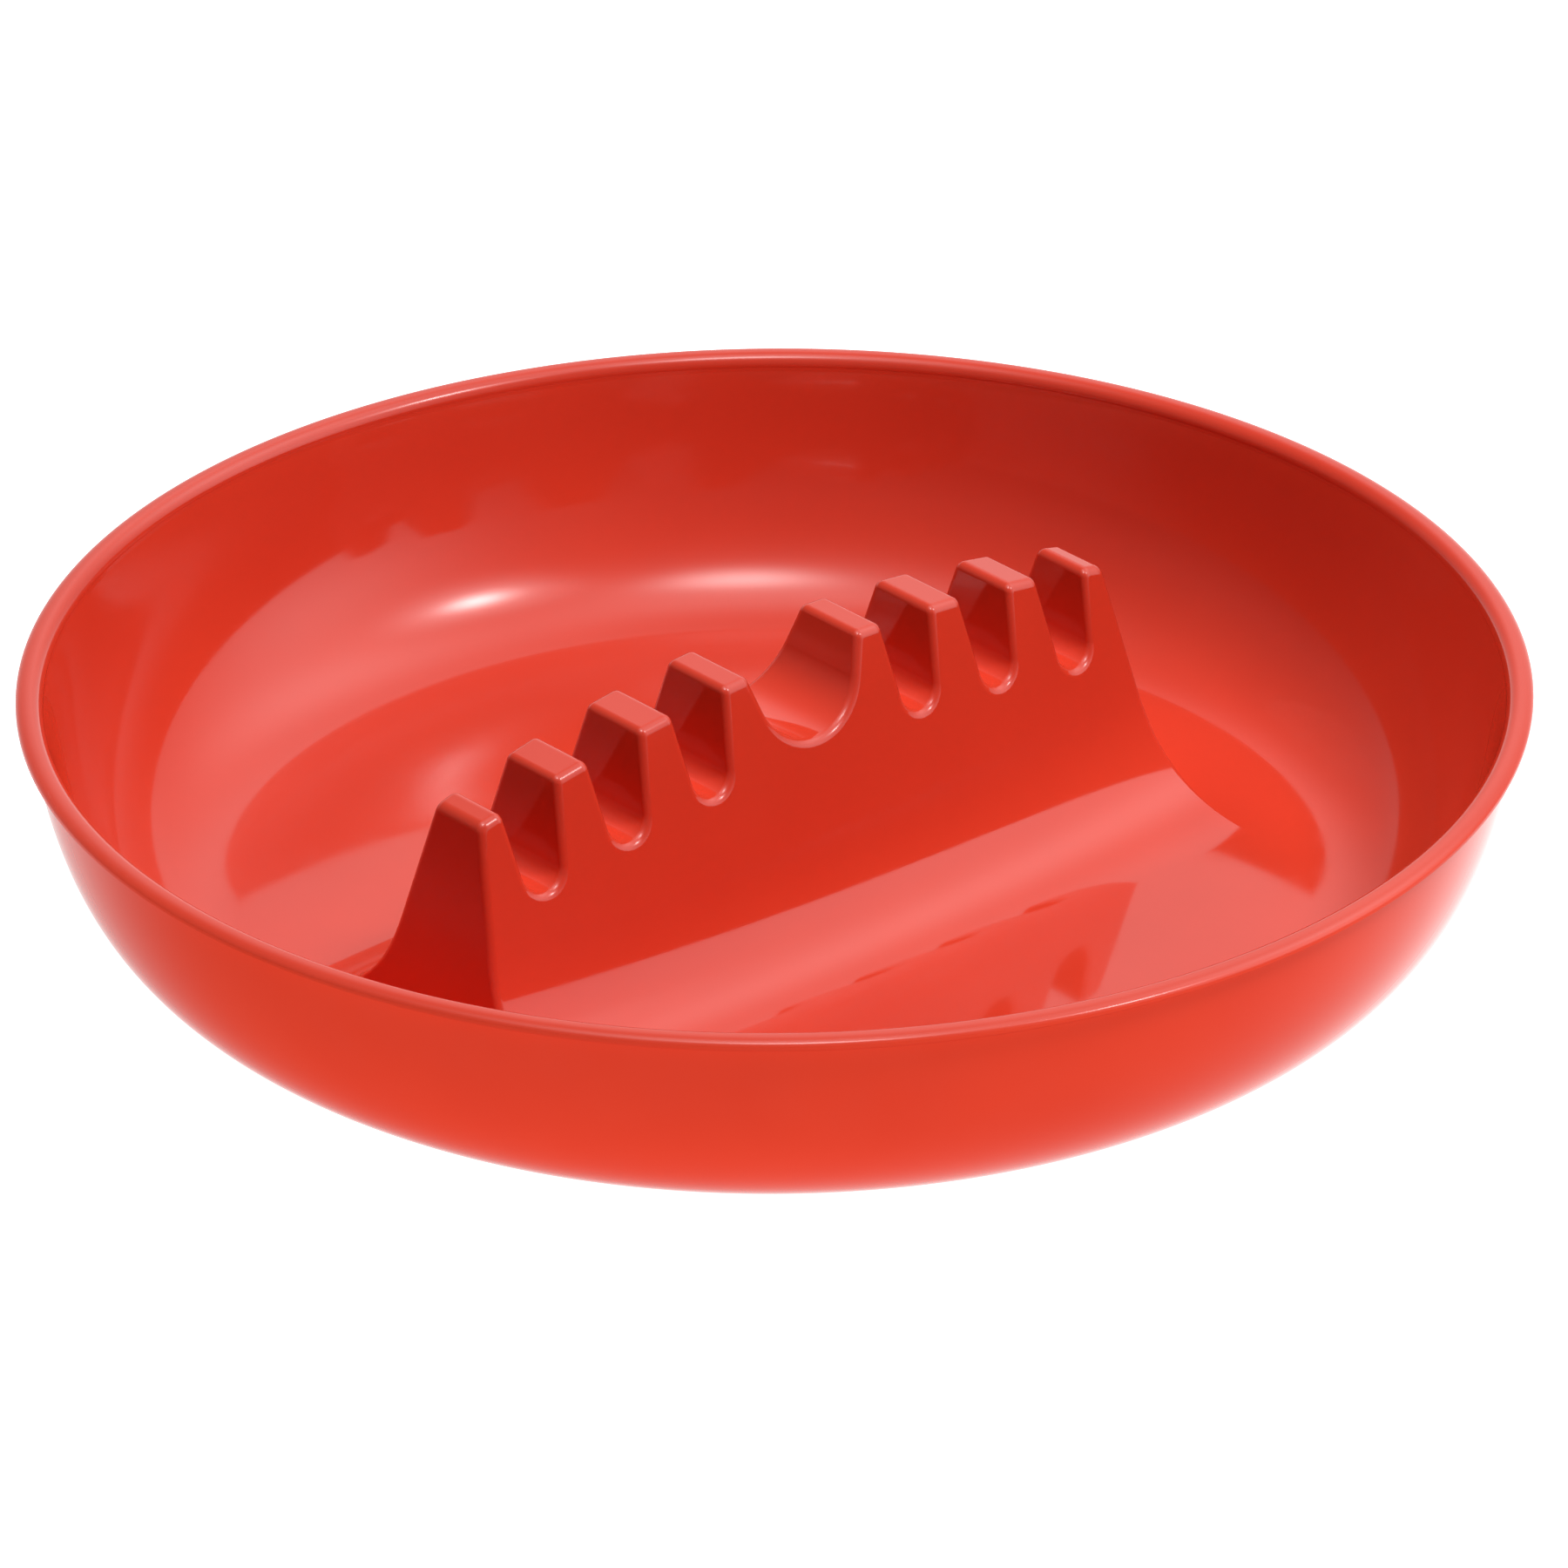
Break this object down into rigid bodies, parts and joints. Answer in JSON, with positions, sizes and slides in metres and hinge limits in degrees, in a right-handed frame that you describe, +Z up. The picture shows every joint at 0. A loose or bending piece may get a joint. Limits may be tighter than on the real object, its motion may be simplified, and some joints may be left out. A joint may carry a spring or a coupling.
{
  "type": "ashtray",
  "caption": "Round moulded ashtray: coved bowl with a rolled rim, and an arched bar across its floor with cigarette rests on each side of a wider cigar rest.",
  "frame": {"origin": "middle of the bowl, on the plane that the standing ring rests on", "axes": "+Z up through the middle of the bowl, +X along the rest bar, +Y across it"},
  "size_m": [0.2, 0.2, 0.0419],
  "materials": {
    "red_gloss_plastic": "high gloss as moulded"
  },
  "bodies": {
    "root": {"bowl": "red_gloss_plastic", "rim_roll": "red_gloss_plastic", "rest_bar": "red_gloss_plastic", "standing_ring": "red_gloss_plastic"}
  },
  "joints": []
}
